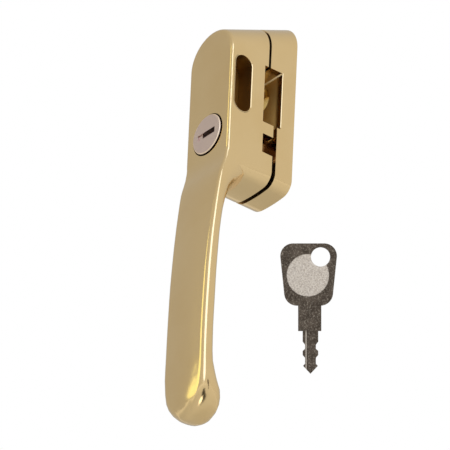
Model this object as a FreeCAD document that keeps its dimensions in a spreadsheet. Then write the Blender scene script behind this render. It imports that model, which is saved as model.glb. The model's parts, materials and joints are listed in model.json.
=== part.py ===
import FreeCAD, Part
import math
import os

# Locking window fastener: a lever handle that turns on a screwed-down base.
# Origin: the pivot axis where it meets the mounting face. +X is to the right as
# seen from the room, +Y goes into the window, +Z is up. Millimetres.

doc = FreeCAD.newDocument("window_locking_handle")
V = FreeCAD.Vector

SIZES = [
    # Castings, seen from the room
    ("body_width", 19.5), ("body_depth", 23.0), ("front_top", 34.3), ("top_rise", 9.8),
    ("side_bottom", 10.1), ("corner_radius", 3.9), ("left_corner_radius", 7.4), ("corner_turn", 84.0),
    ("front_round", 1.2),
    # Base plate
    ("plate_low", 6.0), ("plate_high", 9.15), ("joint_gap_low", 1.3), ("joint_gap_high", 0.8),
    # Tongue window between base and lever
    ("window_bottom", 5.0), ("window_top", 23.7), ("recess_floor", 4.9), ("lever_cutback", 11.2),
    ("left_wall", 3.2),
    # Fixing holes
    ("screw_low", 18.8), ("screw_high", 33.0), ("screw_hole", 4.6), ("screw_head", 8.0),
    ("sink_depth", 2.0),
    # Night vent slot and lower notch in the lever
    ("slot_front", 21.7), ("slot_rear", 15.9), ("slot_bottom", 5.2), ("slot_top", 23.7),
    ("slot_depth", 5.8), ("notch_top", 1.1), ("notch_bottom", 5.1), ("notch_front", 11.0),
    ("notch_depth", 3.0),
    # Pivot: hub on the lever, collar on the base
    ("hub_diameter", 9.2), ("running_gap", 0.05), ("collar_diameter", 13.2), ("collar_reach", 10.6),
    ("well_diameter", 14.4), ("well_floor", 11.0), ("hub_end", 0.15),
    ("rear_bore", 13.4), ("rear_depth", 3.2), ("shank_diameter", 7.4), ("shank_flats", 6.0),
    ("washer_thickness", 0.4), ("disc_thickness", 1.2), ("disc_diameter", 11.2),
    ("spring_thickness", 0.35), ("clip_thickness", 0.6), ("clip_diameter", 12.0),
    ("groove_diameter", 6.0), ("tab_reach", 7.8), ("tab_width", 3.6), ("stop_reach", 8.1),
    ("lever_travel", 90.0),
    # Detent
    ("ball_diameter", 2.0), ("notch_lift", 0.3), ("detent_width", 2.2), ("detent_end", 12.4),
    ("detent_wire", 0.3), ("detent_turns", 5.0),
    # Lock
    ("face_diameter", 12.4), ("face_proud", 0.6), ("face_thickness", 1.7), ("face_gap", 0.3),
    ("face_chamfer", 0.35), ("sleeve_diameter", 11.2), ("sleeve_gap", 0.1), ("sleeve_rear", 12.9),
    ("plug_diameter", 8.4), ("keyway_width", 7.4), ("keyway_height", 1.8), ("blade_way", 6.4),
    ("wafer_height", 4.4), ("wafer_share", 0.6), ("first_web", 1.2), ("last_web", 0.8),
    ("web_front", 12.2), ("tail_square", 2.8), ("cam_diameter", 6.0), ("cam_bore", 6.4),
    ("cam_thickness", 1.3), ("pin_throw", 2.1), ("pin_diameter", 1.5), ("shutter_width", 1.7),
    ("sleeve_pin_diameter", 1.5), ("sleeve_pin_length", 3.4),
    # Locking bolt
    ("bolt_thickness", 1.9), ("bolt_width", 5.8), ("bolt_tail", 3.4), ("bolt_shoulder", 0.5),
    ("bolt_nose", 3.2), ("bolt_tip", 4.1), ("bolt_gap", 0.1),
    # Key
    ("key_length", 36.0), ("key_head_height", 17.2), ("key_head_width", 16.4), ("key_thickness", 2.0),
    ("key_shank_width", 6.4), ("key_shank_length", 7.0), ("key_shank_set", 0.3), ("key_blade_width", 4.3),
    ("key_blade_set", 0.2), ("key_bitting", 0.65),
    ("key_corner", 3.5), ("key_hole_diameter", 5.3), ("key_hole_set", 3.3), ("key_hole_drop", 3.75),
    ("roundel_diameter", 11.8), ("roundel_set", -0.2), ("roundel_drop", 8.8), ("roundel_depth", 0.2),
    ("key_x", 66.2), ("key_y", -36.0), ("key_z", -94.1),
    # Grip
    ("grip_length", 94.8), ("grip_half_width", 9.45), ("bulb_half_width", 9.55), ("grip_corner", 2.4),
    ("bulb_corner", 4.2), ("grip_crown", 0.5), ("grip_step", 4.0),
]

sheet = doc.addObject("Spreadsheet::Sheet", "sizes")
for row, (alias, value) in enumerate(SIZES, start=1):
    sheet.set("A%d" % row, alias)
    sheet.set("B%d" % row, str(value))
    sheet.setAlias("B%d" % row, alias)
doc.recompute()


def size(alias):
    """One driving size, read from the sheet."""
    return float(sheet.get(alias))


ALONG_Y = FreeCAD.Rotation(V(1, 0, 0), -90)
UPRIGHT = FreeCAD.Rotation()


def sheet_formula(text):
    """Write a formula on the aliases as one that the sheet answers."""
    out = text
    for alias in sorted((row[0] for row in SIZES), key=len, reverse=True):
        out = out.replace("[%s]" % alias, "sizes." + alias)
    return out


def place(item, x, y, z, rotation=UPRIGHT):
    item.Placement = FreeCAD.Placement(V(0, 0, 0), rotation)
    for axis, text in (("x", x), ("y", y), ("z", z)):
        item.setExpression("Placement.Base." + axis, sheet_formula(text))
    return item


def rod(name, diameter, front, rear, x="0", z="0"):
    """A cylinder along Y between two depths in front of the mounting face."""
    item = doc.addObject("Part::Cylinder", name)
    item.setExpression("Radius", sheet_formula("(%s) / 2" % diameter))
    item.setExpression("Height", sheet_formula("(%s) - (%s)" % (front, rear)))
    return place(item, x, "0 - (%s)" % front, z, ALONG_Y)


def sink(name, wide, narrow, front, rear, x="0", z="0"):
    """A countersink or chamfer cone along Y, wide or narrow at the front."""
    item = doc.addObject("Part::Cone", name)
    item.setExpression("Radius1", sheet_formula("(%s) / 2" % wide))
    item.setExpression("Radius2", sheet_formula("(%s) / 2" % narrow))
    item.setExpression("Height", sheet_formula("(%s) - (%s)" % (front, rear)))
    return place(item, x, "0 - (%s)" % front, z, ALONG_Y)


def block(name, x0, x1, front, rear, z0, z1):
    """A box between two X values, two depths and two heights."""
    item = doc.addObject("Part::Box", name)
    item.setExpression("Length", sheet_formula("(%s) - (%s)" % (x1, x0)))
    item.setExpression("Width", sheet_formula("(%s) - (%s)" % (front, rear)))
    item.setExpression("Height", sheet_formula("(%s) - (%s)" % (z1, z0)))
    return place(item, x0, "0 - (%s)" % front, z0)


def join(name, items):
    item = doc.addObject("Part::MultiFuse", name)
    item.Shapes = items
    item.Refine = True
    return item


def cut(name, base, tools):
    item = doc.addObject("Part::Cut", name)
    item.Base = base
    item.Tool = tools[0] if len(tools) == 1 else join(name + "_tools", tools)
    item.Refine = True
    return item


def shared(name, items):
    item = doc.addObject("Part::MultiCommon", name)
    item.Shapes = items
    return item


def rounded(name, base, radius, chosen):
    """Fillet the edges of base that the test chooses."""
    doc.recompute()
    item = doc.addObject("Part::Fillet", name)
    item.Base = base
    numbers = [n for n, edge in enumerate(base.Shape.Edges, start=1) if chosen(edge)]
    item.Edges = [(n, radius, radius) for n in numbers]
    return item


def shaped(name, shape):
    item = doc.addObject("Part::Feature", name)
    item.Shape = shape
    return item


NODES = []


def node(name, item):
    """Give a finished sub-part its own label, which names its file."""
    item.Label = name
    NODES.append(item)
    return item


def outline(depth):
    """The castings' outline at a depth: an arch, straight sides and a crowned foot."""
    half = size("body_width") / 2
    slope = size("top_rise") / size("body_depth")
    arch = size("front_top") - half + slope * (size("body_depth") - depth)
    turn = math.radians(size("corner_turn"))
    sole = -size("side_bottom") - size("corner_radius") * math.sin(turn)

    def at(x, z):
        return V(x, -depth, z)

    def corner(side, radius):
        """Where one corner of the foot leaves its side, its middle, and where it meets the sole."""
        points = [(half - radius + radius * math.cos(angle), sole + radius * (math.sin(turn) - math.sin(angle)))
                  for angle in (0, turn / 2, turn)]
        return [at(side * x, z) for x, z in points]

    right = corner(1, size("corner_radius"))
    left = corner(-1, size("left_corner_radius"))
    chord = right[2].x - left[2].x
    low = at((right[2].x + left[2].x) / 2, sole - chord / 2 * math.tan((math.pi / 2 - turn) / 2))
    edges = [
        Part.LineSegment(right[0], at(half, arch)),
        Part.Arc(at(half, arch), at(0, arch + half), at(-half, arch)),
        Part.LineSegment(at(-half, arch), left[0]),
        Part.Arc(*left),
        Part.Arc(left[2], low, right[2]),
        Part.Arc(*reversed(right)),
    ]
    return Part.Wire([edge.toShape() for edge in edges])


def casting(name, front, rear):
    """The oblique block that both castings are cut from."""
    return shaped(name, Part.makeLoft([outline(front), outline(rear)], True, True))


def grip_section(height, front, rear, half):
    """A closed section of the grip: a crowned front, small corners and a rounder back."""
    # The body's flat front and tight corners open into the grip's own, and the bulb is rounder still
    share = -height / size("grip_length")
    crowned = min(max((share - 0.08) / 0.16, 0.05), 1)
    opened = min(max((share - 0.08) / 0.4, 0), 1)
    swollen = max((share - 0.85) / 0.15, 0)
    corner = (size("front_round") + (size("grip_corner") - size("front_round")) * opened
              + (size("bulb_corner") - size("grip_corner")) * swollen)
    corner = min(corner, 0.5 * (rear - front), 0.6 * half)
    crown = size("grip_crown") * crowned * half / size("grip_half_width")
    side = front + crown + corner
    bevel = corner * (1 - math.sqrt(0.5))
    # The back is half an ellipse in two arcs a side, flatter in the middle
    depth = rear - side
    hip = V(half * 0.80, side + depth * 0.72, height)

    def mirrored(point):
        return V(-point.x, point.y, point.z)

    shoulder = V(half - corner, front + crown, height)
    edge = V(half, side, height)
    round_mid = V(half - bevel, front + crown + bevel, height)
    hip_mid = V(half * 0.955, side + depth * 0.38, height)
    back_mid = V(0, rear, height)
    edges = [
        Part.Arc(mirrored(shoulder), V(0, front, height), shoulder),
        Part.Arc(shoulder, round_mid, edge),
        Part.Arc(edge, hip_mid, hip),
        Part.Arc(hip, back_mid, mirrored(hip)),
        Part.Arc(mirrored(hip), mirrored(hip_mid), mirrored(edge)),
        Part.Arc(mirrored(edge), mirrored(round_mid), mirrored(shoulder)),
    ]
    return Part.Wire([arc.toShape() for arc in edges])


def steepness(stations, index, column):
    """How fast one column changes along the grip at a station."""
    def rise(low, high):
        return (stations[high][column] - stations[low][column]) / (stations[high][0] - stations[low][0])

    last = len(stations) - 1
    if index in (0, last):
        return rise(max(index - 1, 0), min(index + 1, last))
    behind = stations[index][0] - stations[index - 1][0]
    ahead = stations[index + 1][0] - stations[index][0]
    return (rise(index, index + 1) * behind + rise(index - 1, index) * ahead) / (behind + ahead)


def filled_in(stations, step):
    """Smooth sections in between, so that short straight bands follow the curve."""
    rows = []
    for index in range(len(stations) - 1):
        start, end = stations[index], stations[index + 1]
        span = end[0] - start[0]
        bands = max(1, round(span / step))
        for band in range(bands):
            t = band / bands
            row = [start[0] + t * span]
            for column in (1, 2, 3):
                leave = steepness(stations, index, column) * span
                arrive = steepness(stations, index + 1, column) * span
                row.append(start[column] * (2 * t**3 - 3 * t**2 + 1) + leave * (t**3 - 2 * t**2 + t)
                           + end[column] * (3 * t**2 - 2 * t**3) + arrive * (t**3 - t**2))
            rows.append(tuple(row))
    return rows + [stations[-1]]


def grip():
    """The grip bows towards the room and ends in a bulb that swells to the rear."""
    face = -size("body_depth")
    full = size("grip_half_width")
    bulb = size("bulb_half_width")
    inside = size("body_width") / 2 - 0.06
    length = size("grip_length")
    # Share of the length below the pivot, front and rear set out from the face, half width
    stations = [
        (0.030, 0.04, 7.5, inside - 0.4), (0.065, 0.03, 9.6, inside - 0.10),
        (0.095, -0.16, 10.9, inside - 0.03), (0.120, -0.60, 11.2, inside - 0.04),
        (0.142, -1.20, 10.3, inside - 0.08), (0.162, -1.80, 8.2, inside - 0.12),
        (0.182, -2.30, 6.1, full + 0.12), (0.212, -2.80, 4.0, full + 0.08),
        (0.262, -3.45, 1.9, full + 0.03), (0.340, -4.20, 0.4, full),
        (0.480, -5.15, -0.5, full), (0.630, -5.55, -0.7, full), (0.770, -5.65, -0.6, full),
        (0.840, -5.60, 0.0, bulb), (0.890, -5.45, 2.2, bulb),
    ]
    # The bulb closes in a near half circle as seen from the room, and its back swells first
    for turn in range(12, 90, 12):
        angle = math.radians(turn)
        along = 1 - (1 - math.sin(angle)) * bulb / length
        closing = 1 - math.cos(angle)
        rear = 3.4 + 2.1 * math.sin(2 * angle) - 1.9 * closing
        stations.append((along, -5.35 + 4.1 * closing, rear, bulb * math.cos(angle)))
    wires = [grip_section(-length * along, face + front, face + rear, half)
             for along, front, rear, half in filled_in(stations, size("grip_step") / length)]
    return shaped("grip", Part.makeLoft(wires, True, True))


def clear(text, times="1"):
    """A diameter opened by the running gap on each side."""
    return "(%s) + 2 * (%s) * [running_gap]" % (text, times)


def ring(name, outside, inside, front, rear):
    return cut(name, rod(name + "_disc", outside, front, rear), [rod(name + "_bore", inside, front, rear)])


def stadium(name, x0, x1, front, rear, bottom, top):
    """A slot with round ends, sunk along X from the right side."""
    end = "((%s) - (%s))" % (front, rear)
    middle = block(name + "_middle", x0, x1, front, rear, "(%s) + %s / 2" % (bottom, end),
                   "(%s) - %s / 2" % (top, end))
    pieces = [middle]
    for which, level in (("low", "(%s) + %s / 2" % (bottom, end)), ("high", "(%s) - %s / 2" % (top, end))):
        item = doc.addObject("Part::Cylinder", name + "_" + which)
        item.setExpression("Radius", sheet_formula(end + " / 2"))
        item.setExpression("Height", sheet_formula("(%s) - (%s)" % (x1, x0)))
        place(item, x0, "0 - ((%s) + (%s)) / 2" % (front, rear), level, FreeCAD.Rotation(V(0, 1, 0), 90))
        pieces.append(item)
    return join(name, pieces)


HALF = "[body_width] / 2"
PAST = "[body_width]"
TOP = "[front_top] + [top_rise]"
SEAT = "([body_depth] - [face_thickness] + [face_proud])"


def make_base():
    body = casting("base_casting", size("plate_high"), 0)
    inner_left = "[left_wall] - " + HALF
    # The base is thin from the tongue window down, and the window is sunk further
    low_front = block("base_low_front", "0 - " + PAST, PAST, "[plate_high] + 1", "[plate_low]",
                      "0 - " + TOP, "[window_bottom]")
    recess = block("recess", inner_left, PAST, "[plate_high] + 1", "[recess_floor]", "[window_bottom]",
                   "[window_top]")
    collar = rod("collar", "[collar_diameter]", "[collar_reach]", "[recess_floor] - 0.5")
    plate = join("base_with_collar", [cut("base_stepped", body, [low_front, recess]), collar])
    tools = [rod("hub_bore", clear("[hub_diameter]"), "[collar_reach] + 1", "0 - 1"),
             rod("rear_well", "[rear_bore]", "[rear_depth]", "0 - 1")]
    for which in ("low", "high"):
        level = "[screw_%s]" % which
        front = "[recess_floor]" if which == "low" else "[plate_high]"
        tools.append(rod("hole_" + which, "[screw_hole]", front + " + 1", "0 - 1", "0", level))
        tools.append(sink("sink_" + which, "[screw_head]", "[screw_hole]", front, front + " - [sink_depth]",
                          "0", level))
    # Notches that take the locking bolt with the lever closed and fully turned
    nose = "[bolt_nose] / 2 + [bolt_gap]"
    deep = "[collar_reach] - [bolt_thickness] - [bolt_gap]"
    tools.append(block("bolt_notch_top", "0 - (%s)" % nose, nose, "[collar_reach] + 1", deep, "[hub_diameter] / 4",
                       "[well_diameter] / 2"))
    tools.append(block("bolt_notch_left", "0 - [well_diameter] / 2", "0 - [hub_diameter] / 4",
                       "[collar_reach] + 1", deep, "0 - (%s)" % nose, nose))
    # Track of the index disc's stop tab, from straight up to the left
    doc.recompute()
    reach = size("stop_reach")
    half_tab = math.degrees(math.asin(size("tab_width") / size("rear_bore"))) + 1.0
    track = Part.makeCylinder(reach, size("rear_depth") - 0.4, V(0, -size("rear_depth"), 0), V(0, 1, 0),
                              size("lever_travel") + 2 * half_tab)
    # A part cylinder about +Y starts at +Z and grows towards +X
    track.rotate(V(0, 0, 0), V(0, 1, 0), -(size("lever_travel") + half_tab) - start_angle(track))
    tools.append(shaped("stop_track", track))
    tools.append(block("detent_channel", "0 - [detent_width] / 2", "[detent_width] / 2", "[rear_depth]",
                       "0 - 1", "0 - [detent_end]", "0 - [disc_diameter] / 2"))
    return node("base_plate", cut("base_plate", plate, tools))


def start_angle(sector):
    """Angle about +Y, from +Z towards +X, of the sector's starting face, in degrees."""
    flats = [face for face in sector.Faces if isinstance(face.Surface, Part.Plane)
             and abs(face.normalAt(0, 0).y) < 0.5]
    angles = sorted(math.degrees(math.atan2(face.CenterOfMass.x, face.CenterOfMass.z)) for face in flats)
    middle = math.degrees(math.atan2(sector.CenterOfMass.x, sector.CenterOfMass.z))
    return min(angles, key=lambda angle: (middle - angle) % 360)


def make_lever():
    high_rear = "[plate_high] + [joint_gap_high]"
    body = casting("lever_casting", size("body_depth"), size("plate_low") + size("joint_gap_low"))
    face = -size("body_depth")
    soft = rounded("lever_rounded", body, size("front_round"),
                   lambda edge: all(abs(v.Point.y - face) < 0.01 for v in edge.Vertexes)
                   and edge.CenterOfMass.z > -size("side_bottom") - 0.1)
    high_cut = block("lever_high_rear", "0 - " + PAST, PAST, high_rear, "0", "[window_bottom]", TOP + " + 5")
    window = block("lever_window", "[left_wall] - " + HALF, PAST, "[lever_cutback]", "0",
                   "[window_bottom]", "[window_top]")
    well = rod("lever_well", "[well_diameter]", "[well_floor]", "0")
    notch = block("lever_notch", HALF + " - [notch_depth]", PAST, "[notch_front]", "0", "0 - [notch_bottom]",
                  "[notch_top]")
    shell = cut("lever_shell", join("lever_outside", [soft, grip()]), [high_cut, window, well, notch])
    hub = join("hub", [rod("hub_round", "[hub_diameter]", "[well_floor] + 0.5",
                           "[rear_depth] + [running_gap] - [washer_thickness] - 0.1"), hub_shank()])
    solid = join("lever_solid", [shell, hub])
    tools = [
        rod("face_seat", "[face_diameter] + 2 * [face_gap]", "[body_depth] + 1", SEAT),
        rod("sleeve_bore", "[sleeve_diameter] + 0.04", SEAT + " + 0.1", "[web_front]"),
        rod("cam_way", "[cam_bore]", "[web_front] + 0.1", "[collar_reach]"),
        block("bolt_way", "0 - [bolt_width] / 2 - [running_gap]", "[bolt_width] / 2 + [running_gap]",
              "[collar_reach] + 0.05", "[collar_reach] - [bolt_thickness] - 0.05",
              "0 - [bolt_tail] - [running_gap]", "[hub_diameter]"),
        rod("sleeve_pin_way", "[sleeve_pin_diameter] + 0.02", "[sleeve_rear] + [sleeve_pin_length] - 1",
            "[well_floor] - 1", "0", "0 - [sleeve_diameter] / 2"),
        stadium("vent_slot", HALF + " - [slot_depth]", PAST, "[slot_front]", "[slot_rear]", "[slot_bottom]",
                "[slot_top]"),
    ]
    return node("lever_handle", cut("lever_handle", solid, tools))


def flats(name, front, rear):
    """The part of the shank between its two flats, on both sides of the axis."""
    across = "[shank_flats] / 2"
    return block(name, "0 - [shank_diameter]", "[shank_diameter]", front, rear, "0 - " + across, across)


def hub_shank():
    front = "[rear_depth] + 0.2"
    stem = shared("hub_stem", [rod("stem_round", "[shank_diameter]", front, "[hub_end]"),
                               flats("stem_flats", front, "[hub_end]")])
    clip_rear = "[hub_end] + 0.35"
    groove = ring("clip_groove", "[shank_diameter] + 1", "[groove_diameter] - 0.1",
                  clip_rear + " + [clip_thickness] + 0.06", clip_rear)
    return cut("hub_grooved", stem, [groove])


WASHER_REAR = "[rear_depth] - [running_gap] - [washer_thickness]"
DISC_FRONT = WASHER_REAR + " - [running_gap]"
DISC_REAR = DISC_FRONT + " - [disc_thickness]"
CLIP_REAR = "[hub_end] + 0.38"
CLIP_FRONT = CLIP_REAR + " + [clip_thickness]"


def make_pivot_stack():
    """What holds the lever to the base and clicks it into place."""
    thrust = ring("thrust_washer", "[collar_diameter] - 0.2", clear("[hub_diameter]", "2"),
                  "[well_floor] - 0.03", "[collar_reach] + 0.03")
    node("thrust_washer", thrust)
    bearing = ring("bearing_washer", "[disc_diameter] - 0.2", clear("[hub_diameter]"),
                   "[rear_depth] - [running_gap]", WASHER_REAR)
    node("bearing_washer", bearing)
    disc = join("index_blank", [
        rod("index_round", "[disc_diameter]", DISC_FRONT, DISC_REAR),
        block("stop_tab", "0 - [tab_width] / 2", "[tab_width] / 2", DISC_FRONT, DISC_REAR, "0", "[tab_reach]"),
    ])
    hole = shared("index_hole", [
        rod("index_hole_round", "[shank_diameter] + 0.06", DISC_FRONT + " + 1", DISC_REAR + " - 1"),
        block("index_hole_flats", "0 - [shank_diameter]", "[shank_diameter]", DISC_FRONT + " + 1",
              DISC_REAR + " - 1", "0 - [shank_flats] / 2 - 0.03", "[shank_flats] / 2 + 0.03"),
    ])
    tools = [hole]
    for turn in (-90, -180):
        seat = doc.addObject("Part::Cylinder", "detent_notch")
        seat.setExpression("Radius", "sizes.ball_diameter / 2 + 0.1")
        seat.setExpression("Height", "sizes.disc_thickness + 2")
        seat.Placement = FreeCAD.Placement(V(0, 0, 0), ALONG_Y)
        seat.setExpression("Placement.Base.y", sheet_formula("0 - (%s) - 1" % DISC_FRONT))
        reach = "([disc_diameter] / 2 + [ball_diameter] / 2 + 0.1 - [notch_lift])"
        seat.setExpression("Placement.Base.x", sheet_formula("%s * %d" % (reach, round(math.cos(math.radians(turn))))))
        seat.setExpression("Placement.Base.z", sheet_formula("%s * %d" % (reach, round(math.sin(math.radians(turn))))))
        tools.append(seat)
    node("index_disc", cut("index_disc", disc, tools))
    doc.recompute()
    # A dished washer that takes up the play
    rear = size("hub_end") + 0.38 + size("clip_thickness") + 0.02
    front = rear + size("spring_thickness")
    sheet_metal = 0.2
    inner = size("shank_diameter") / 2 + 0.1
    outer = size("disc_diameter") / 2 - 0.2
    profile = Part.makePolygon([
        V(inner, -rear - sheet_metal, 0), V(inner, -rear, 0), V(outer, -front + sheet_metal, 0),
        V(outer, -front, 0), V(inner, -rear - sheet_metal, 0)])
    spring = Part.Face(profile).revolve(V(0, 0, 0), V(0, 1, 0), 360)
    node("disc_spring", shaped("disc_spring", spring))
    mouth = block("clip_mouth", "0 - [groove_diameter] / 2 + 0.4", "[groove_diameter] / 2 - 0.4",
                  CLIP_FRONT + " + 1", CLIP_REAR + " - 1", "0 - [clip_diameter]", "0")
    clip = cut("retaining_clip", rod("clip_round", "[clip_diameter]", CLIP_FRONT, CLIP_REAR),
               [rod("clip_bore", "[groove_diameter]", CLIP_FRONT + " + 1", CLIP_REAR + " - 1"), mouth])
    node("retaining_clip", clip)


def coil(name, start, direction, length, radius, wire, turns):
    """A helical spring with flat-sided wire, from start along direction."""
    helix = Part.makeHelix((length - wire) / turns, length - wire, radius - wire / 2)
    half = wire / 2
    middle = radius - half
    section = Part.makePolygon([V(middle - half, 0, -half), V(middle + half, 0, -half),
                                V(middle + half, 0, half), V(middle - half, 0, half),
                                V(middle - half, 0, -half)])
    solid = Part.Wire(helix.Edges).makePipeShell([section], True, True)
    turn = FreeCAD.Rotation(V(0, 0, 1), direction)
    solid.Placement = FreeCAD.Placement(start + direction * half, turn)
    return solid


def make_detent():
    ball_radius = size("ball_diameter") / 2
    depth = -(size("rear_depth") - size("running_gap") * 2 - size("washer_thickness") - size("disc_thickness") / 2)
    # The ball stands at its lifted place, on the disc's rim
    level = -(size("disc_diameter") / 2 + ball_radius + 0.04)
    ball = doc.addObject("Part::Sphere", "detent_ball")
    ball.setExpression("Radius", "sizes.ball_diameter / 2")
    ball.Placement = FreeCAD.Placement(V(0, depth, level), UPRIGHT)
    node("detent_ball", ball)
    start = V(0, depth, level - ball_radius - 0.02)
    length = size("detent_end") + start.z - 0.02
    spring = coil("detent_spring", start, V(0, 0, -1), length, size("detent_width") / 2 - 0.15,
                  size("detent_wire"), size("detent_turns"))
    node("detent_spring", shaped("detent_spring", spring))


SLEEVE_FRONT = "(%s - [sleeve_gap])" % SEAT
WAFERS = 5
# The wafers share the sleeve's length evenly between its two webs, each as thick as its share of the pitch
WAFER_PITCH = "((%s - [sleeve_rear] - [first_web] - [last_web]) / (%d + [wafer_share]))" % (SLEEVE_FRONT, WAFERS - 1)
WAFER_THICKNESS = "([wafer_share] * %s)" % WAFER_PITCH


def wafer_front(number):
    return "(%s - [first_web] - %d * %s)" % (SLEEVE_FRONT, number, WAFER_PITCH)


def make_lock():
    sleeve = cut("lock_sleeve", rod("sleeve_round", "[sleeve_diameter]", SLEEVE_FRONT, "[sleeve_rear]"), [
        rod("sleeve_way", clear("[plug_diameter]"), SLEEVE_FRONT + " + 1", "[sleeve_rear] - 1"),
        rod("sleeve_pin_groove", "[sleeve_pin_diameter] + 0.02", "[sleeve_rear] + [sleeve_pin_length] - 1",
            "[sleeve_rear] - 1", "0", "0 - [sleeve_diameter] / 2"),
        block("wafer_groove", "0 - [plug_diameter] / 2 - 0.6", "[plug_diameter] / 2 + 0.6",
              SLEEVE_FRONT + " - [last_web]", "[sleeve_rear] - 1", "0 - [wafer_height] / 2", "[wafer_height] / 2"),
    ])
    node("lock_sleeve", sleeve)
    pin_front = "[sleeve_rear] + [sleeve_pin_length] - 1.05"
    node("sleeve_pin", rod("sleeve_pin", "[sleeve_pin_diameter]", pin_front, pin_front + " - [sleeve_pin_length]",
                           "0", "0 - [sleeve_diameter] / 2"))
    front = "[body_depth] + [face_proud]"
    neck_front = "[sleeve_rear] - 0.02"
    clip_room = "[clip_thickness] - 0.06"
    face = join("plug_face", [
        rod("face_round", "[face_diameter]", front + " - [face_chamfer]", SEAT),
        sink("face_edge", "[face_diameter] - 2 * [face_chamfer]", "[face_diameter]", front,
             front + " - [face_chamfer]"),
    ])
    blank = join("plug_blank", [
        face,
        rod("plug_round", "[plug_diameter]", SEAT + " + 0.1", "[sleeve_rear]"),
        rod("plug_neck", "[plug_diameter] - 1.8", "[sleeve_rear] + 0.1", "[web_front] + 0.1"),
        rod("plug_end", "[plug_diameter] - 0.6", "%s - (%s)" % (neck_front, clip_room), "[web_front] + 0.05"),
        block("plug_tail", "0 - [tail_square] / 2", "[tail_square] / 2", "[web_front] + 0.1",
              "[web_front] - [cam_thickness]", "0 - [tail_square] / 2", "[tail_square] / 2"),
    ])
    across = "[keyway_height] / 2"
    tools = [
        block("keyway_face", "0 - [keyway_width] / 2", "[keyway_width] / 2", front + " + 1",
              SLEEVE_FRONT + " - [first_web]", "0 - " + across, across),
        block("keyway", "0 - [blade_way] / 2", "[blade_way] / 2", front + " + 1",
              "[sleeve_rear] + [last_web] - 0.6", "0 - " + across, across),
    ]
    for number in range(WAFERS):
        slot_front = wafer_front(number) + " + 0.03"
        tools.append(block("wafer_slot_%d" % (number + 1), "0 - [plug_diameter]", "[plug_diameter]", slot_front,
                           "%s - %s - 0.06" % (slot_front, WAFER_THICKNESS), "0 - [wafer_height] / 2 - 0.03",
                           "[wafer_height] / 2 + 0.03"))
    node("lock_plug", cut("lock_plug", blank, tools))
    for number in range(WAFERS):
        make_wafer(number)
    doc.recompute()
    springs = []
    for number in range(WAFERS):
        wafer = doc.getObject("wafer_%d_round" % (number + 1))
        springs.append(bow(wafer.Placement.Base.y + 0.15, wafer.Height.Value - 0.3, size("wafer_height") / 2))
    node("wafer_springs", shaped("wafer_springs", Part.makeCompound(springs)))
    clip_front = neck_front + " - 0.02"
    clip_rear = "%s - (%s) + 0.02" % (neck_front, clip_room)
    mouth = block("plug_clip_mouth", "0 - [plug_diameter] / 2 + 1.4", "[plug_diameter] / 2 - 1.4",
                  clip_front + " + 1", clip_rear + " - 1", "0 - [plug_diameter]", "0")
    node("plug_clip", cut("plug_clip", rod("plug_clip_round", "[plug_diameter] + 1.2", clip_front, clip_rear), [
        rod("plug_clip_bore", "[plug_diameter] - 1.8 + 0.06", clip_front + " + 1", clip_rear + " - 1"), mouth]))
    shutter = block("keyway_shutter", "0 - [keyway_width] / 2 + 0.05",
                    "0 - [keyway_width] / 2 + [shutter_width]", front + " - 0.35", SLEEVE_FRONT + " - [first_web] + 0.05",
                    "0 - [keyway_height] / 2 + 0.05", "[keyway_height] / 2 - 0.05")
    node("keyway_shutter", shutter)


def bow(front, width, level):
    """A bowed leaf spring that lies in a wafer's side pocket."""
    half = 1.4
    sheet_metal = 0.12
    outer = Part.Arc(V(-half, front, level - 0.8), V(0, front, level - 0.2), V(half, front, level - 0.8)).toShape()
    inner = Part.Arc(V(-half, front, level - 0.8 - sheet_metal), V(0, front, level - 0.2 - sheet_metal),
                     V(half, front, level - 0.8 - sheet_metal)).toShape()
    ends = [Part.LineSegment(V(x, front, level - 0.8 - sheet_metal), V(x, front, level - 0.8)).toShape()
            for x in (-half, half)]
    outline_wire = Part.Wire(Part.__sortEdges__([outer, inner] + ends))
    return Part.Face(outline_wire).extrude(V(0, width, 0))


def make_wafer(number):
    front = wafer_front(number)
    rear = "%s - %s" % (front, WAFER_THICKNESS)
    tag = "wafer_%d" % (number + 1)
    half = "[wafer_height] / 2"
    blank = shared(tag + "_blank", [
        rod(tag + "_round", "[plug_diameter] - 0.1", front, rear),
        block(tag + "_strip", "0 - [plug_diameter]", "[plug_diameter]", front, rear, "0 - " + half, half),
    ])
    # Each wafer's window is offset a little, which is what the key is cut to
    shift = 0.15 * ((number * 2) % 5 - 2)
    window = block(tag + "_window", "%g - [blade_way] / 2 - 0.05" % shift, "%g + [blade_way] / 2 + 0.05" % shift,
                   front + " + 1", rear + " - 1", "0 - [keyway_height] / 2 - 0.05", "[keyway_height] / 2 + 0.05")
    pocket = block(tag + "_pocket", "0 - 1.5", "1.5", front + " + 1", rear + " - 1", half + " - 0.95", half + " + 1")
    node(tag, cut(tag, blank, [window, pocket]))


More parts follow.
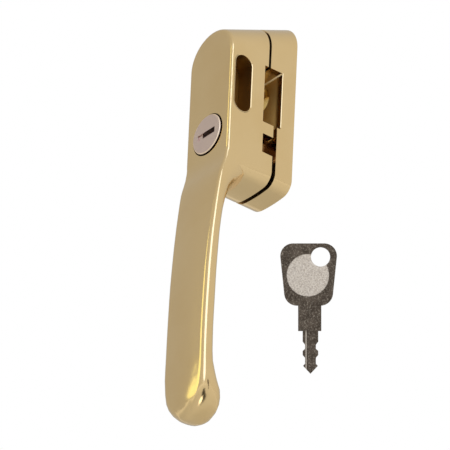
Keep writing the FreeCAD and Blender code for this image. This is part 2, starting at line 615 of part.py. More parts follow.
def make_drive():
    """The cam on the plug's tail and the bolt that its pin slides up and down."""
    front = "[web_front]"
    rear = front + " - [cam_thickness]"
    throw = "[pin_throw] * 0.70711"
    pin_rear = "[collar_reach] - [bolt_thickness] + 0.05"
    cam = cut("drive_cam", join("cam_blank", [
        rod("cam_disc", "[cam_diameter]", front, rear),
        rod("cam_pin", "[pin_diameter]", rear + " + 0.2", pin_rear, throw, "0 - " + throw),
    ]), [block("cam_square", "0 - [tail_square] / 2 - 0.02", "[tail_square] / 2 + 0.02", front + " + 1",
               front + " - [cam_thickness]", "0 - [tail_square] / 2 - 0.02", "[tail_square] / 2 + 0.02")])
    node("drive_cam", cam)
    bolt_front = "[collar_reach]"
    bolt_rear = "[collar_reach] - [bolt_thickness]"
    half = "[bolt_width] / 2"
    bolt = join("bolt_blank", [
        block("bolt_body", "0 - " + half, half, bolt_front, bolt_rear, "0 - [bolt_tail]", "[bolt_shoulder]"),
        block("bolt_nose", "0 - [bolt_nose] / 2", "[bolt_nose] / 2", bolt_front, bolt_rear, "0", "[bolt_tip]"),
    ])
    play = "[pin_diameter] / 2 + [bolt_gap]"
    way = block("pin_slot", throw + " - (%s)" % play, "[bolt_width]", bolt_front + " + 1", bolt_rear + " - 1",
                "0 - %s - (%s)" % (throw, play), "0 - %s + (%s)" % (throw, play))
    node("locking_bolt", cut("locking_bolt", bolt, [way]))


def make_key():
    """The key stands by itself, flat on to the photograph's view."""
    height = size("key_length") / 2
    foot = height - size("key_head_height")
    wide = size("key_head_width") / 2
    shank = size("key_shank_width") / 2
    blade = size("key_blade_width") / 2
    shoulder = foot - size("key_shank_length")
    thick = size("key_thickness")
    head = Part.makePolygon([
        V(-wide, 0, height), V(wide, 0, height), V(wide * 0.78, 0, foot), V(-wide * 0.78, 0, foot),
        V(-wide, 0, height)])
    solid = Part.Face(head).extrude(V(0, thick, 0))
    uprights = [edge for edge in solid.Edges if abs(edge.Vertexes[0].Point.y - edge.Vertexes[1].Point.y) > 0.1]
    solid = solid.makeFillet(size("key_corner"), uprights)
    middle = size("key_shank_set")
    overlap = 3
    neck = Part.makeBox(2 * shank, thick, size("key_shank_length") + overlap, V(middle - shank, 0, shoulder))
    middle += size("key_blade_set")
    tip = -height
    cut = blade - size("key_bitting")
    steps = [(blade, shoulder + 1), (blade, shoulder - 2.9), (cut, shoulder - 3.8), (cut, shoulder - 4.9),
             (blade, shoulder - 5.5), (blade, shoulder - 6.6), (cut, shoulder - 7.4), (cut, shoulder - 9.0),
             (blade - 0.1, shoulder - 9.6), (0, tip)]
    skin = thick * 0.15
    right = [V(middle + x, skin, z) for x, z in steps]
    left = [V(middle - x, skin, z) for x, z in reversed(steps[:-1])]
    strip = Part.Face(Part.makePolygon(right + left + [right[0]])).extrude(V(0, thick - 2 * skin, 0))
    groove = Part.makeBox(0.7, 0.5, shoulder - tip, V(middle - blade + 0.75, 0, tip))
    solid = solid.fuse([neck, strip.cut(groove)]).removeSplitter()
    hole = Part.makeCylinder(size("key_hole_diameter") / 2, thick + 2,
                             V(size("key_hole_set"), -1, height - size("key_hole_drop")), V(0, 1, 0))
    roundel = Part.makeCylinder(size("roundel_diameter") / 2, 1,
                                V(size("roundel_set"), size("roundel_depth") - 1, height - size("roundel_drop")),
                                V(0, 1, 0))
    solid = solid.cut([hole, roundel])
    right_way = V(0.628, 0.777, 0.038)
    up_way = V(0.396, -0.362, 0.844)
    back_way = up_way.cross(right_way)
    facing = FreeCAD.Rotation(right_way, back_way, up_way, "ZXY")
    solid.Placement = FreeCAD.Placement(V(size("key_x"), size("key_y"), size("key_z")), facing)
    node("key", shaped("key", solid))


make_base()
make_lever()
make_pivot_stack()
make_detent()
make_lock()
make_drive()
make_key()
doc.recompute()

os.makedirs("parts", exist_ok=True)
faults = [item.Name for item in doc.Objects if "Invalid" in item.State or "Error" in item.State]
if faults:
    raise RuntimeError("Failed objects: " + ", ".join(faults))
for item in NODES:
    if item.Shape.isNull() or not item.Shape.isValid():
        raise RuntimeError("Bad shape: " + item.Label)
    item.Shape.exportStep("parts/" + item.Label + ".step")
    box = item.Shape.BoundBox
    print("%-16s solids %d volume %.1f  X %.2f %.2f  Y %.2f %.2f  Z %.2f %.2f" % (
        item.Label, len(item.Shape.Solids), item.Shape.Volume, box.XMin, box.XMax, box.YMin, box.YMax,
        box.ZMin, box.ZMax))
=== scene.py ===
"""Looks for the gold-plated window locking handle: finishes, edge and wear detail, studio and camera."""

import json
import math

import bpy
from mathutils import Matrix, Vector


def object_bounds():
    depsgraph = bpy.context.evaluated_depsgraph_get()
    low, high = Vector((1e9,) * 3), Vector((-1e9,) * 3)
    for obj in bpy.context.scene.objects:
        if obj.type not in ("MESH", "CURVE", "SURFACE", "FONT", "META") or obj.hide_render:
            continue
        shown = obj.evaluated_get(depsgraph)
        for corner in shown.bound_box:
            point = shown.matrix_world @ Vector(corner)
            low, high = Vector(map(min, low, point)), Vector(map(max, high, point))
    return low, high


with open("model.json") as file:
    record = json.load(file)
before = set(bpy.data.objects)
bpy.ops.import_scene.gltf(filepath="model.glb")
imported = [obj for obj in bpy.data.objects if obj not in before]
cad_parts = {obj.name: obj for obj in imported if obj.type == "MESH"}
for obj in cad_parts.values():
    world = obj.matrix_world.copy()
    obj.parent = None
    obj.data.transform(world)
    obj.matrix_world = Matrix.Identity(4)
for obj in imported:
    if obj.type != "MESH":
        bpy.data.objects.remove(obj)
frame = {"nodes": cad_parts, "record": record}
cad_low, cad_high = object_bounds()
nodes = frame["nodes"]
MM = 0.001

# The photograph's view: its right and up, the point at the middle of the picture, the picture's width, the lens and
# sensor in millimetres, and the near and far ends of what the camera sees in metres
VIEW_RIGHT = Vector((0.628, 0.777, 0.038))
VIEW_UP = Vector((0.396, -0.362, 0.844))
VIEW_TARGET = Vector((-11.41, -6.70, -17.77)) * MM
PICTURE_WIDTH = 126.76 * MM
LENS = 1500.0
SENSOR = 36.0
CLIP = (0.1, 100.0)

# In the values below, a pair such as WORLD_SIDES or PAINTED_DARK_SPOT_EDGE says where a change begins and where it is complete.

# Studio: the world's greys in reflections, to the left, to the right and below, and how it lights matt surfaces
WORLD_LEFT = 0.50
WORLD_RIGHT = 0.70
WORLD_BELOW = 0.37
WORLD_DIFFUSE = 0.85
WORLD_SIDES = (-0.75, 0.75)
WORLD_HORIZON = (-0.35, 0.0)

# Floor, in metres: its plain grey, and the painted reflection that only reflections see of it, darker to the left and
# paler far off, with painted dark reflections and a painted glint that glows for the bulb
FLOOR_GAP = 0.03
FLOOR_HALF = 3.0
FLOOR_MATT = 0.9
FLOOR_PALE = (0.9, 0.9, 0.9)
PAINTED_REFLECTION_LEFT = (0.42, 0.42, 0.42)
PAINTED_REFLECTION_RIGHT = (0.59, 0.59, 0.59)
PAINTED_REFLECTION_SIDES = (-0.16, 0.14)
PAINTED_REFLECTION_FAR = (0.72, 0.72, 0.72)
PAINTED_REFLECTION_REACH = (0.20, 0.75)
PAINTED_DARK_REFLECTION = (0.05, 0.05, 0.05)
PAINTED_DARK_SPOTS_AT = ((0.046, -0.054), (0.066, -0.077), (0.092, -0.104))
PAINTED_DARK_SPOT_EDGE = (0.014, 0.028)
PAINTED_GLINT_AT = (0.031, -0.058)
PAINTED_GLINT_EDGE = (0.008, 0.012)
PAINTED_GLINT_POWER = 2.0

# Noises of the finishes, as fineness per metre, detail and roughness
PLATE_CLOUD = (55.0, 3.0, 0.55)
PLATE_SPECK = (2400.0, 2.0, 0.6)
PLATE_WAVE = (160.0, 2.0, 0.4)
NYLON_CLOUD = (300.0, 3.0, 0.5)
NYLON_GRAIN = (1800.0, 3.0, 0.5)
KEY_CLOUD = (420.0, 4.0, 0.65)
KEY_SPECK = (2300.0, 3.0, 0.7)

# Plating colours, linear: the gold and its deeper tone, then the painted shade in the joint gaps, the slot and the
# notch, the window's inside, and the painted highlight on the window's inner corner
GOLD = (0.87, 0.64, 0.325)
GOLD_DEEP = (0.80, 0.56, 0.25)
JOINT_PAINTED_SHADE = (0.20, 0.11, 0.03)
SLOT_PAINTED_SHADE = (0.36, 0.21, 0.06)
NOTCH_PAINTED_SHADE = (0.20, 0.095, 0.030)
WINDOW_GOLD = (0.78, 0.55, 0.19)
CORNER_PAINTED_HIGHLIGHT = (1.0, 0.86, 0.56)

# Plating: how the cloud deepens its colour, how the speck takes part in gloss and ripple, and the ripple's depth
DEEP_CLOUD = (0.35, 0.75)
DEEP_SHARE = 0.5
SPECK_IN_GLOSS = 0.6
GLOSS_MIDDLE = 0.8
SPECK_IN_RIPPLE = 0.012
RIPPLE_DEPTH = 2 * MM

# Recesses, where shade is painted into the colour and the plating is rougher: how near the surfaces that shut a point
# in are, and how open it still is
JOINT_REACH = 2.5 * MM
JOINT_OPEN = (0.62, 0.30)
POCKET_REACH = 11.0 * MM
POCKET_OPEN = (0.80, 0.50)
AO_SAMPLES = 8

# The pockets that open on the right side, as low and high corners, and how far in from the mouth each begins
VENT_SLOT = (Vector((3.8, -21.8, 5.1)) * MM, Vector((9.75, -15.8, 23.8)) * MM)
NOTCH = (Vector((3.0, -11.2, -5.3)) * MM, Vector((9.75, -5.9, 1.5)) * MM)
WINDOW = (Vector((-9.8, -11.3, 2.0)) * MM, Vector((9.75, -1.0, 23.8)) * MM)
MOUTH = (0.02 * MM, 0.5 * MM)

# The handle's right side, and how far from a surface still counts as on it
SIDE_AT = 9.75 * MM
SKIN = 0.05 * MM

# The rims that catch the light: the slot's middle line, ends and half width, and the window's far and top edges, and
# the width of the highlight painted along the window's inner corner
SLOT_LINE = -18.8 * MM
SLOT_ENDS = (8.1 * MM, 20.8 * MM)
SLOT_HALF = 3.0 * MM
WINDOW_RIM = (-4.9 * MM, 23.7 * MM)
WINDOW_FOOT = 5.6 * MM
BASE_FRONT = -6.1 * MM
RIM_ROUND = 0.26 * MM
CORNER_HIGHLIGHT_WIDTH = (0.45 * MM, 0.27 * MM)

# The window's inside: where shade is painted dark at its mouth, and how much less metallic it looks from its top to
# its foot
WINDOW_SHADE = (6.8 * MM, 8.6 * MM)
CAST_HEIGHT = (21 * MM, 8 * MM)
CAST_SHARE = (0.22, 0.55)

# How much rougher the recesses are than the plating, and the window's share of it
SATIN = 0.3
WINDOW_SATIN = 0.6

# The lock's face: its colours, its chamfer's inner edge and the front of the wall below it, then the highlight
# painted on the chamfer, its roughness, and the shade painted on the wall
NICKEL = (0.72, 0.56, 0.505)
NICKEL_DEEP = (0.60, 0.465, 0.42)
LOCK_RADIUS = 6.2 * MM
LOCK_RIM = (LOCK_RADIUS - 0.42 * MM, LOCK_RADIUS - 0.32 * MM)
LOCK_SHOULDER = -23.36 * MM
RIM_PAINTED_HIGHLIGHT = (1.0, 0.80, 0.60)
RIM_SATIN = 0.14
WALL_PAINTED_SHADE = (0.030, 0.013, 0.005)

# The key's middle, its groove's and roundel's places on it and the roundel's radius, as in the solid
KEY_MIDDLE = Vector((66.2, -36.0, -94.1)) * MM
GROOVE_AT = Vector((-0.72, -6.2)) * MM
GROOVE_EDGE = (0.10 * MM, 0.24 * MM)
GROOVE_END = 0.2 * MM
ROUNDEL_AT = Vector((-0.2, 9.2)) * MM
ROUNDEL_RADIUS = 5.9 * MM
ROUNDEL_EDGE = 0.12 * MM
ROUNDEL_SUNK = 0.3 * MM

# The key's colours: dark, worn through, groove and rubbed roundel
KEY_DARK = (0.074, 0.055, 0.039)
KEY_BROWN = (0.145, 0.112, 0.084)
KEY_WORN = (0.52, 0.45, 0.36)
GROOVE_BRIGHT = (0.62, 0.55, 0.46)
ROUNDEL_DULL = (0.57, 0.495, 0.42)
ROUNDEL_PALE = (0.82, 0.74, 0.64)
KEY_BROWN_EDGE = (0.35, 0.7)
KEY_WORN_EDGE = (0.48, 0.74)
KEY_WORN_SHARE = 0.6
RUBBED_EDGE = (0.34, 0.62)
KEY_ROUGH_EDGE = (0.3, 0.8)
KEY_ROUGH = (0.62, 0.42)

# Nylon's two colours
NYLON_PALE = (0.78, 0.76, 0.70)
NYLON_GREY = (0.66, 0.64, 0.58)

# Plain metals by material slot: name, colour, deeper colour, gloss, mottle and ripple
METALS = {
    "zinc_steel": ("zinc_plated_steel", (0.66, 0.66, 0.64), (0.52, 0.52, 0.52), 0.34, 0.12, 0.05),
    "spring_steel": ("blued_spring_steel", (0.38, 0.38, 0.40), (0.26, 0.26, 0.29), 0.28, 0.1, 0.03),
    "bright_steel": ("ground_steel", (0.78, 0.78, 0.78), (0.7, 0.7, 0.7), 0.08, 0.02, 0.0),
    "lock_metal": ("machined_brass", (0.72, 0.55, 0.28), (0.60, 0.43, 0.20), 0.3, 0.1, 0.04),
    "wafer_brass": ("stamped_brass", (0.78, 0.60, 0.30), (0.66, 0.47, 0.21), 0.26, 0.1, 0.03),
}

# The angle up to which faces of the lever share a normal
BAND_ANGLE = math.radians(30)


def new_tree(name, inputs, outputs):
    """A shader node group with named inputs, given as (name, kind, value), and outputs, as (name, kind)."""
    tree = bpy.data.node_groups.new(name, "ShaderNodeTree")
    for title, kind, value in inputs:
        socket = tree.interface.new_socket(name=title, in_out="INPUT", socket_type="NodeSocket" + kind)
        socket.default_value = value
    for title, kind in outputs:
        tree.interface.new_socket(name=title, in_out="OUTPUT", socket_type="NodeSocket" + kind)
    entry = tree.nodes.new("NodeGroupInput")
    leave = tree.nodes.new("NodeGroupOutput")
    return tree, entry.outputs, leave.inputs


def feed(tree, socket, value):
    """Sets an input to a plain value, or links it to the socket that is given instead."""
    if isinstance(value, bpy.types.NodeSocket):
        tree.links.new(value, socket)
    else:
        socket.default_value = value


def put(tree, kind, settings=None, **links):
    """A node of a kind, with its settings, and its inputs set or linked by name, or by number as i0, i1 and so on."""
    made = tree.nodes.new("ShaderNode" + kind)
    for key, value in (settings or {}).items():
        setattr(made, key, value)
    for key, value in links.items():
        numbered = key[0] == "i" and key[1:].isdigit()
        feed(tree, made.inputs[int(key[1:]) if numbered else key.replace("_", " ")], value)
    return made


def mathop(tree, operation, first, second=0.0, clamp=False):
    """The value of one arithmetic step."""
    return put(tree, "Math", {"operation": operation, "use_clamp": clamp}, i0=first, i1=second).outputs[0]


def remap(tree, value, low, high, to_low=0.0, to_high=1.0):
    """A value carried from one range to another, held inside it."""
    made = put(tree, "MapRange", {"interpolation_type": "SMOOTHSTEP"}, Value=value)
    for key, number in (("From Min", low), ("From Max", high), ("To Min", to_low), ("To Max", to_high)):
        feed(tree, made.inputs[key], number)
    return made.outputs[0]


def blend_colour(tree, share, first, second):
    """Two colours mixed by a share from 0 to 1."""
    return put(tree, "Mix", {"data_type": "RGBA"}, i0=share, i6=first, i7=second).outputs[2]


def own_place(tree):
    """Where a point is in its piece's own coordinates, which at rest are the shared frame's."""
    return put(tree, "TexCoord").outputs["Object"]


def axes_of(tree, vector):
    """The X, Y and Z of a vector."""
    return put(tree, "SeparateXYZ", i0=vector).outputs


def length_of(tree, vector):
    """The length of a vector."""
    return put(tree, "VectorMath", {"operation": "LENGTH"}, i0=vector).outputs["Value"]


def noise(tree, scale, detail, roughness):
    """Noise in the piece's own coordinates, as a value round 0.5."""
    return put(tree, "TexNoise", Vector=own_place(tree), Scale=scale, Detail=detail, Roughness=roughness).outputs[0]


def make_plating_group():
    """Plated casting: colour that drifts a little, a soft mottle in the gloss and a faint casting ripple."""
    tree, given, out = new_tree(
        "plated_surface",
        [("Colour", "Color", (*GOLD, 1)), ("Deep", "Color", (*GOLD_DEEP, 1)), ("Gloss", "Float", 0.16),
         ("Mottle", "Float", 0.05), ("Ripple", "Float", 0.02)],
        [("Colour", "Color"), ("Roughness", "Float"), ("Normal", "Vector")])
    cloud = noise(tree, *PLATE_CLOUD)
    speck = noise(tree, *PLATE_SPECK)
    share = remap(tree, cloud, *DEEP_CLOUD, 0.0, DEEP_SHARE)
    colour = blend_colour(tree, share, given["Colour"], given["Deep"])
    mixed = mathop(tree, "ADD", cloud, mathop(tree, "MULTIPLY", speck, SPECK_IN_GLOSS))
    spread = mathop(tree, "SUBTRACT", mixed, GLOSS_MIDDLE)
    rough = mathop(tree, "ADD", given["Gloss"], mathop(tree, "MULTIPLY", spread, given["Mottle"]))
    wave = noise(tree, *PLATE_WAVE)
    height = mathop(tree, "ADD", wave, mathop(tree, "MULTIPLY", speck, SPECK_IN_RIPPLE))
    bump = put(tree, "Bump", Strength=given["Ripple"], Distance=RIPPLE_DEPTH, Height=height)
    for title, source in (("Colour", colour), ("Roughness", rough), ("Normal", bump.outputs[0])):
        tree.links.new(source, out[title])
    return tree


def new_material(name, **fixed):
    """A material with a Principled shader, whose plain values are set on the shader's own sockets."""
    made = bpy.data.materials.new(name)
    made.use_nodes = True
    shader = made.node_tree.nodes["Principled BSDF"]
    for key, value in fixed.items():
        shader.inputs[key.replace("_", " ")].default_value = value
    return made, made.node_tree, shader


PLATING = make_plating_group()


def pocket_mask(tree, low, high):
    """One on the walls of a pocket in the right side, between two corners, easing to zero at its mouth."""
    place = axes_of(tree, own_place(tree))
    mask = remap(tree, place[0], high[0] - MOUTH[0], high[0] - MOUTH[1])
    for axis in (0, 1, 2):
        mask = mathop(tree, "MULTIPLY", mask, mathop(tree, "GREATER_THAN", place[axis], low[axis] - SKIN))
        mask = mathop(tree, "MULTIPLY", mask, mathop(tree, "LESS_THAN", place[axis], high[axis] + SKIN))
    return mask


def rim_rounding(tree):
    """The small rounding of the slot's and the window's rims on the right side, as a height from 0 to 1."""
    place = axes_of(tree, own_place(tree))
    along = mathop(tree, "MINIMUM", mathop(tree, "MAXIMUM", place[2], SLOT_ENDS[0]), SLOT_ENDS[1])
    offset = put(tree, "CombineXYZ", i1=mathop(tree, "SUBTRACT", place[1], SLOT_LINE),
                 i2=mathop(tree, "SUBTRACT", place[2], along)).outputs[0]
    slot = mathop(tree, "SUBTRACT", length_of(tree, offset), SLOT_HALF)
    behind = mathop(tree, "MAXIMUM", mathop(tree, "SUBTRACT", place[1], WINDOW_RIM[0]), 0.0)
    above = mathop(tree, "MAXIMUM", mathop(tree, "SUBTRACT", place[2], WINDOW_RIM[1]), 0.0)
    window = length_of(tree, put(tree, "CombineXYZ", i1=behind, i2=above).outputs[0])
    elsewhere = mathop(tree, "MAXIMUM", mathop(tree, "LESS_THAN", place[1], BASE_FRONT),
                       mathop(tree, "LESS_THAN", place[2], WINDOW_FOOT))
    nearest = mathop(tree, "MINIMUM", slot, mathop(tree, "ADD", window, elsewhere))
    inside = mathop(tree, "LESS_THAN", place[0], SIDE_AT - SKIN)
    return mathop(tree, "DIVIDE", mathop(tree, "ADD", nearest, inside), RIM_ROUND, clamp=True)


def painted_corner_highlight(tree, place):
    """Where a highlight is painted: one along the inner corner between the window's top and its back, and zero beside
    it.
    """
    offset = put(tree, "CombineXYZ", i1=mathop(tree, "SUBTRACT", place[1], WINDOW_RIM[0]),
                 i2=mathop(tree, "SUBTRACT", place[2], WINDOW_RIM[1])).outputs[0]
    return remap(tree, length_of(tree, offset), *CORNER_HIGHLIGHT_WIDTH)


def shut_in(tree, reach, openness):
    """One where surfaces within a reach shut a point in, easing to zero in the open."""
    share = put(tree, "AmbientOcclusion", {"samples": AO_SAMPLES}, Distance=reach).outputs["AO"]
    return remap(tree, share, *openness)


def gold_finish():
    """Bright gold plating over the die castings; shade is painted dark into its colour in the joint gaps and deep in
    the recesses, where it is also rougher, and a highlight is painted along the window's inner corner.
    """
    made, tree, shader = new_material("gold_plating_with_painted_light", Metallic=1.0)
    surface = put(tree, "Group", {"node_tree": PLATING}, Gloss=0.15, Mottle=0.05, Ripple=0.03)
    # how shut in a point is, which sets where shade is painted and where the plating is rougher
    narrow = shut_in(tree, JOINT_REACH, JOINT_OPEN)
    deep = shut_in(tree, POCKET_REACH, POCKET_OPEN)
    slot, notch, window = (mathop(tree, "MULTIPLY", pocket_mask(tree, *pocket), deep)
                           for pocket in (VENT_SLOT, NOTCH, WINDOW))
    place = axes_of(tree, own_place(tree))
    mouth = remap(tree, place[0], *WINDOW_SHADE)
    corner = mathop(tree, "MULTIPLY", window, painted_corner_highlight(tree, place))

    # painted shade: the slot, the joint gaps and the notch darkened, and the window's inside darkened at its mouth
    colour = blend_colour(tree, slot, surface.outputs["Colour"], (*SLOT_PAINTED_SHADE, 1))
    colour = blend_colour(tree, narrow, colour, (*JOINT_PAINTED_SHADE, 1))
    colour = blend_colour(tree, notch, colour, (*NOTCH_PAINTED_SHADE, 1))
    inner = blend_colour(tree, mouth, (*WINDOW_GOLD, 1), (*NOTCH_PAINTED_SHADE, 1))
    colour = blend_colour(tree, window, colour, inner)
    # painted highlight along the window's inner corner
    colour = blend_colour(tree, corner, colour, (*CORNER_PAINTED_HIGHLIGHT, 1))
    tree.links.new(colour, shader.inputs["Base Color"])

    cast = mathop(tree, "MULTIPLY", window, mathop(tree, "SUBTRACT", 1.0, mouth))
    cast = mathop(tree, "MULTIPLY", cast, remap(tree, place[2], *CAST_HEIGHT, *CAST_SHARE))
    # the painted corner highlight is not metallic, so its bright colour shows as written
    cast = mathop(tree, "MAXIMUM", cast, corner)
    tree.links.new(mathop(tree, "SUBTRACT", 1.0, cast), shader.inputs["Metallic"])

    satin = mathop(tree, "MULTIPLY", window, WINDOW_SATIN)
    satin = mathop(tree, "MAXIMUM", mathop(tree, "MAXIMUM", narrow, slot), satin)
    rough = mathop(tree, "ADD", surface.outputs["Roughness"], mathop(tree, "MULTIPLY", satin, SATIN))
    tree.links.new(rough, shader.inputs["Roughness"])

    rims = put(tree, "Bump", Strength=1.0, Distance=RIM_ROUND, Height=rim_rounding(tree),
               Normal=surface.outputs["Normal"])
    tree.links.new(rims.outputs[0], shader.inputs["Normal"])
    return made


def metal_finish(name, colour, deep, gloss, mottle, ripple):
    """One of the plain metals inside the handle."""
    made, tree, shader = new_material(name, Metallic=1.0)
    surface = put(tree, "Group", {"node_tree": PLATING}, Colour=(*colour, 1), Deep=(*deep, 1), Gloss=gloss,
                  Mottle=mottle, Ripple=ripple)
    for title, target in (("Colour", "Base Color"), ("Roughness", "Roughness"), ("Normal", "Normal")):
        tree.links.new(surface.outputs[title], shader.inputs[target])
    return made


def lock_finish():
    """Satin nickel, with a warm highlight painted on the chamfer round the lock's face and shade painted dark on the
    wall below it.
    """
    made, tree, shader = new_material("satin_nickel", Metallic=1.0)
    surface = put(tree, "Group", {"node_tree": PLATING}, Colour=(*NICKEL, 1), Deep=(*NICKEL_DEEP, 1), Gloss=0.36,
                  Mottle=0.12, Ripple=0.05)
    where = own_place(tree)
    level = put(tree, "VectorMath", {"operation": "MULTIPLY"}, i0=where, i1=(1, 0, 1)).outputs[0]
    rim = remap(tree, length_of(tree, level), *LOCK_RIM)
    wall = mathop(tree, "MULTIPLY", rim, mathop(tree, "GREATER_THAN", axes_of(tree, where)[1], LOCK_SHOULDER))
    # painted highlight on the chamfer, then painted shade on the wall below it
    colour = blend_colour(tree, rim, surface.outputs["Colour"], (*RIM_PAINTED_HIGHLIGHT, 1))
    tree.links.new(blend_colour(tree, wall, colour, (*WALL_PAINTED_SHADE, 1)), shader.inputs["Base Color"])
    satin = mathop(tree, "MULTIPLY", rim, RIM_SATIN)
    tree.links.new(mathop(tree, "ADD", surface.outputs["Roughness"], satin), shader.inputs["Roughness"])
    tree.links.new(surface.outputs["Normal"], shader.inputs["Normal"])
    return made


def nylon_finish():
    """Natural nylon, a little translucent looking, with a fine moulded grain."""
    made, tree, shader = new_material("natural_nylon", Roughness=0.45)
    cloud = noise(tree, *NYLON_CLOUD)
    colour = blend_colour(tree, cloud, (*NYLON_PALE, 1), (*NYLON_GREY, 1))
    tree.links.new(colour, shader.inputs["Base Color"])
    bump = put(tree, "Bump", Strength=0.15, Distance=0.0004, Height=noise(tree, *NYLON_GRAIN))
    tree.links.new(bump.outputs[0], shader.inputs["Normal"])
    return made


def away_from(tree, middle):
    """The way from a fixed place to the point, in the piece's own coordinates."""
    return put(tree, "VectorMath", {"operation": "SUBTRACT"}, i0=own_place(tree), i1=middle).outputs[0]


def along_axis(tree, reach, axis):
    """How far a vector reaches along an axis."""
    return put(tree, "VectorMath", {"operation": "DOT_PRODUCT"}, i0=reach, i1=axis).outputs["Value"]


def groove_mask(tree):
    """One along the milled groove on the left of the key's blade, and zero beside it."""
    reach = away_from(tree, KEY_MIDDLE)
    across = along_axis(tree, reach, VIEW_RIGHT.normalized())
    along = along_axis(tree, reach, VIEW_UP.normalized())
    beside = mathop(tree, "ABSOLUTE", mathop(tree, "SUBTRACT", across, GROOVE_AT.x))
    line = remap(tree, beside, *GROOVE_EDGE, 1.0, 0.0)
    return mathop(tree, "MULTIPLY", line, remap(tree, along, GROOVE_AT.y, GROOVE_AT.y + GROOVE_END, 1.0, 0.0))


def roundel_mask(tree):
    """One inside the round, sunk field on the key's front, and zero outside it."""
    up = VIEW_UP.normalized()
    right = VIEW_RIGHT.normalized()
    middle = KEY_MIDDLE + right * ROUNDEL_AT.x + up * ROUNDEL_AT.y
    reach = away_from(tree, middle)
    inside = remap(tree, length_of(tree, reach), ROUNDEL_RADIUS - ROUNDEL_EDGE, ROUNDEL_RADIUS, 1.0, 0.0)
    front = mathop(tree, "GREATER_THAN", along_axis(tree, reach, right.cross(up)), -2 * ROUNDEL_SUNK)
    return mathop(tree, "MULTIPLY", inside, front)


def key_finish():
    """Dark antiqued nickel with pale specks worn through, and a bare, stippled roundel rubbed bright."""
    made, tree, shader = new_material("antiqued_nickel", Metallic=0.75)
    cloud = noise(tree, *KEY_CLOUD)
    speck = noise(tree, *KEY_SPECK)
    dark = blend_colour(tree, remap(tree, cloud, *KEY_BROWN_EDGE), (*KEY_DARK, 1), (*KEY_BROWN, 1))
    worn = blend_colour(tree, remap(tree, speck, *KEY_WORN_EDGE, 0.0, KEY_WORN_SHARE), dark, (*KEY_WORN, 1))
    worn = blend_colour(tree, groove_mask(tree), worn, (*GROOVE_BRIGHT, 1))
    rubbed = blend_colour(tree, remap(tree, speck, *RUBBED_EDGE), (*ROUNDEL_DULL, 1), (*ROUNDEL_PALE, 1))
    mask = roundel_mask(tree)
    tree.links.new(blend_colour(tree, mask, worn, rubbed), shader.inputs["Base Color"])
    tree.links.new(remap(tree, speck, *KEY_ROUGH_EDGE, *KEY_ROUGH), shader.inputs["Roughness"])
    bump = put(tree, "Bump", Strength=0.35, Distance=0.0003, Height=speck)
    tree.links.new(bump.outputs[0], shader.inputs["Normal"])
    return made


finishes = {
    "plated_brass": gold_finish(),
    "nylon": nylon_finish(),
    **{slot: metal_finish(*look) for slot, look in METALS.items()},
    "satin_nickel": lock_finish(),
    "key_metal": key_finish(),
}
for part in frame["record"]["subparts"]:
    node = nodes[part["node"]]
    node.data.materials.clear()
    node.data.materials.append(finishes[part["material_slot"]])


def ease_bands(item, limit):
    """Shades the grip's narrow bands as one smooth surface: faces that meet at a small angle share a normal."""
    mesh = item.data
    corners = {}
    for loop in mesh.loops:
        place = tuple(round(c * 1e6) for c in mesh.vertices[loop.vertex_index].co)
        corners.setdefault(place, []).append(loop.index)
    before = [Vector(corner.vector) for corner in mesh.corner_normals]
    after = list(before)
    for together in corners.values():
        for index in together:
            near = [before[other] for other in together if before[index].angle(before[other], 0.0) < limit]
            after[index] = sum(near, Vector()).normalized()
    mesh.normals_split_custom_set(after)


ease_bands(nodes["lever_handle"], BAND_ANGLE)


def make_camera():
    """A very long lens at the photograph's angle, level of detail and framing."""
    towards = VIEW_RIGHT.cross(VIEW_UP).normalized()
    right = VIEW_RIGHT.normalized()
    up = towards.cross(right)
    lens = bpy.data.cameras.new("camera")
    lens.lens = LENS
    lens.sensor_width = SENSOR
    distance = LENS * PICTURE_WIDTH / SENSOR
    lens.clip_start, lens.clip_end = CLIP
    camera = bpy.data.objects.new("camera", lens)
    turn = Matrix((right, up, towards)).transposed().to_4x4()
    camera.matrix_world = Matrix.Translation(VIEW_TARGET + towards * distance) @ turn
    bpy.context.scene.collection.objects.link(camera)
    bpy.context.scene.camera = camera


def softbox(name, direction, distance, width, height, power, colour=(1, 1, 1)):
    """A rounded lamp that stands in a direction from the handle and faces it."""
    lamp = bpy.data.lights.new(name, "AREA")
    lamp.shape = "ELLIPSE"
    lamp.size = width
    lamp.size_y = height
    lamp.energy = power
    lamp.color = colour
    holder = bpy.data.objects.new(name, lamp)
    away = Vector(direction).normalized()
    holder.location = VIEW_TARGET + away * distance
    holder.rotation_euler = away.to_track_quat("Z", "Y").to_euler()
    bpy.context.scene.collection.objects.link(holder)
    return holder


def make_world():
    """Pure white to the eye, and a soft grey studio, lighter to the right and above, to everything else."""
    world = bpy.data.worlds.new("studio")
    bpy.context.scene.world = world
    world.use_nodes = True
    tree = world.node_tree
    tree.nodes.clear()
    way = axes_of(tree, put(tree, "TexCoord").outputs["Generated"])
    sideways = remap(tree, way[0], *WORLD_SIDES, WORLD_LEFT, WORLD_RIGHT)
    level = remap(tree, way[2], *WORLD_HORIZON)
    grey = put(tree, "Mix", {"data_type": "FLOAT"}, i0=level, i2=WORLD_BELOW, i3=sideways).outputs[0]
    path = put(tree, "LightPath").outputs
    shade = put(tree, "Mix", {"data_type": "FLOAT"}, i0=path["Is Diffuse Ray"], i2=grey, i3=WORLD_DIFFUSE).outputs[0]
    seen = put(tree, "Background", Color=(1, 1, 1, 1), Strength=1.0)
    felt = put(tree, "Background", Color=(1, 1, 1, 1), Strength=shade)
    eye = mathop(tree, "MAXIMUM", path["Is Camera Ray"], path["Is Transmission Ray"])
    both = put(tree, "MixShader", i0=eye, i1=felt.outputs[0], i2=seen.outputs[0])
    leave = tree.nodes.new("ShaderNodeOutputWorld")
    tree.links.new(both.outputs[0], leave.inputs[0])


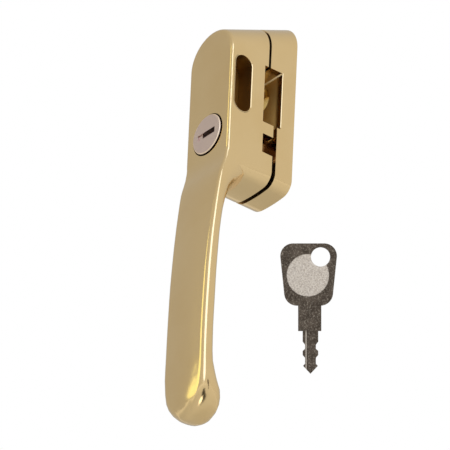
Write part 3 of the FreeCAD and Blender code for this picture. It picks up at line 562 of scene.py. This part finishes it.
def spot(tree, where, middle, full, none):
    """One within a round spot on the floor, easing to zero at its rim."""
    level = put(tree, "VectorMath", {"operation": "MULTIPLY"}, i0=where, i1=(1, 1, 0)).outputs[0]
    reach = put(tree, "VectorMath", {"operation": "DISTANCE"}, i0=level, i1=(*middle, 0)).outputs["Value"]
    return remap(tree, reach, full, none, 1.0, 0.0)


def make_floor():
    """A pale floor that the camera sees through from below; reflections see a painted grey on it, with painted dark
    spots and a painted glint that glows.
    """
    mesh = bpy.data.meshes.new("floor")
    z = cad_low.z - FLOOR_GAP
    corners = ((-1, -1), (1, -1), (1, 1), (-1, 1))
    mesh.from_pydata([(x * FLOOR_HALF, y * FLOOR_HALF, z) for x, y in corners], [], [(0, 1, 2, 3)])
    floor = bpy.data.objects.new("floor", mesh)
    bpy.context.scene.collection.objects.link(floor)
    made, tree, shader = new_material("pale_floor_painted_reflections", Roughness=FLOOR_MATT, Emission_Strength=PAINTED_GLINT_POWER)
    path = put(tree, "LightPath").outputs
    where = own_place(tree)
    sideways = remap(tree, axes_of(tree, where)[0], *PAINTED_REFLECTION_SIDES)
    # painted reflection: greys, dark spots and a paler far grey that only reflections see
    near = blend_colour(tree, sideways, (*PAINTED_REFLECTION_LEFT, 1), (*PAINTED_REFLECTION_RIGHT, 1))
    for middle in PAINTED_DARK_SPOTS_AT:
        near = blend_colour(tree, spot(tree, where, middle, *PAINTED_DARK_SPOT_EDGE), near, (*PAINTED_DARK_REFLECTION, 1))
    mirrored = blend_colour(tree, remap(tree, length_of(tree, where), *PAINTED_REFLECTION_REACH), near, (*PAINTED_REFLECTION_FAR, 1))
    colour = blend_colour(tree, path["Is Glossy Ray"], (*FLOOR_PALE, 1), mirrored)
    tree.links.new(colour, shader.inputs["Base Color"])
    # painted glint: a spot that glows only in reflections
    glint = mathop(tree, "MULTIPLY", spot(tree, where, PAINTED_GLINT_AT, *PAINTED_GLINT_EDGE), path["Is Glossy Ray"])
    tree.links.new(blend_colour(tree, glint, (0, 0, 0, 1), (1, 1, 1, 1)), shader.inputs["Emission Color"])
    below = put(tree, "NewGeometry").outputs["Backfacing"]
    clear = put(tree, "BsdfTransparent")
    both = put(tree, "MixShader", i0=below, i1=shader.outputs[0], i2=clear.outputs[0])
    tree.links.new(both.outputs[0], tree.nodes["Material Output"].inputs["Surface"])
    mesh.materials.append(made)


make_camera()
make_world()
make_floor()
softbox("edge_lamp", direction=(0.56, -0.66, 0.38), distance=1.3, width=0.50, height=1.1, power=2.4,
        colour=(0.52, 0.66, 1.0))
softbox("amber_lamp", direction=(-0.335, -0.815, 0.27), distance=1.3, width=0.56, height=0.95, power=1.26,
        colour=(0.97, 1.0, 0.42))
top_lamp = softbox("top_lamp", direction=(0.1, -0.3, 1.0), distance=1.5, width=1.2, height=1.2, power=10.0)
top_lamp.visible_glossy = False
bpy.context.scene.view_settings.view_transform = "Standard"
